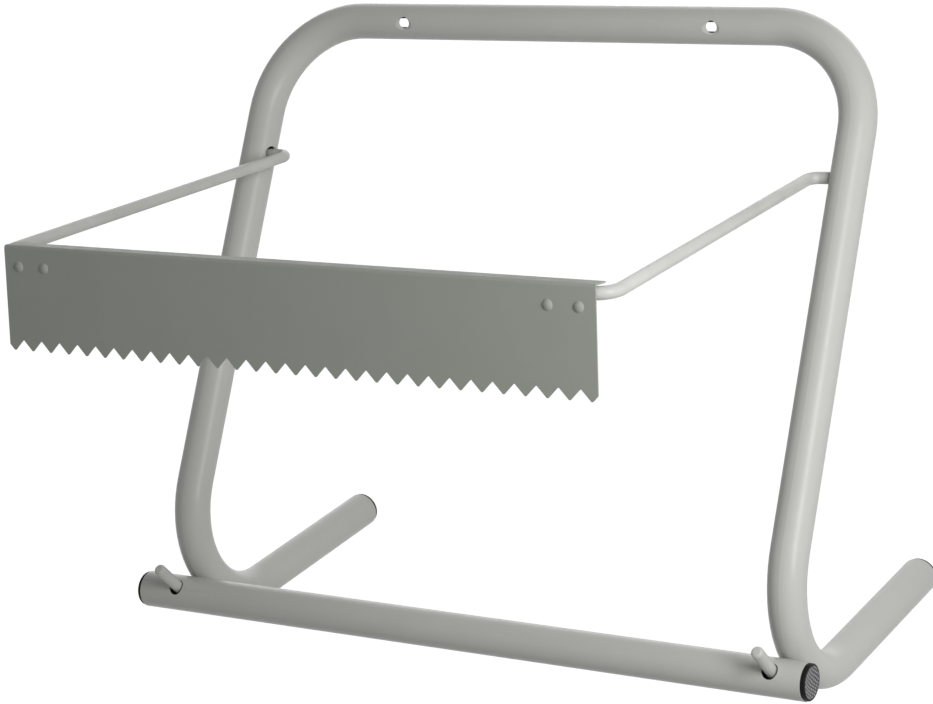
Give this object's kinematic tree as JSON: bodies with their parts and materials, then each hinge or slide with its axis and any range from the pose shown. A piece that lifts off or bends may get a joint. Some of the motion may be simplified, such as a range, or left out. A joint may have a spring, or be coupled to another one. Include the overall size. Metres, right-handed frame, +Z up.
{
  "type": "wall-mounted roll holder",
  "caption": "Bent tube wall bracket with a lift-off bar for a wide roll and a swinging wire bail that carries a toothed tear-off blade.",
  "frame": {"origin": "midway between the two wall screws, on the wall plane", "axes": "+X to the right along the top rail, +Y into the wall, +Z up"},
  "size_m": [0.5175, 0.3756, 0.413],
  "materials": {
    "frame_paint": "satin powder coat",
    "wire_paint": "satin powder coat",
    "blade_paint": "satin powder coat",
    "rivet_paint": "satin powder coat",
    "plug_plastic": "matte"
  },
  "bodies": {
    "frame": {"frame_tube": "frame_paint", "stub_plug_left": "plug_plastic", "stub_plug_right": "plug_plastic", "roll_peg_left": "frame_paint", "roll_peg_right": "frame_paint", "peg_weld_left": "frame_paint", "peg_weld_right": "frame_paint"},
    "cutter": {"bail_wire": "wire_paint", "tear_blade": "blade_paint", "wire_clip_left": "blade_paint", "wire_clip_right": "blade_paint", "clip_rivet_left_inner": "rivet_paint", "clip_rivet_left_outer": "rivet_paint", "clip_rivet_right_inner": "rivet_paint", "clip_rivet_right_outer": "rivet_paint"},
    "roll_bar": {"roll_bar": "frame_paint", "bar_plug_left": "plug_plastic", "bar_plug_right": "plug_plastic"}
  },
  "joints": [
    {"name": "cutter_swing", "type": "hinge", "parent": "frame", "child": "cutter", "pos_m": [0, -0.0665, -0.08126], "axis": [-1, 0, 0], "range_deg": [-42, 97]},
    {"name": "roll_bar_lift", "type": "slide", "parent": "frame", "child": "roll_bar", "axis": [0, -0.6293, 0.7771], "range_m": [0, 0.051]}
  ]
}
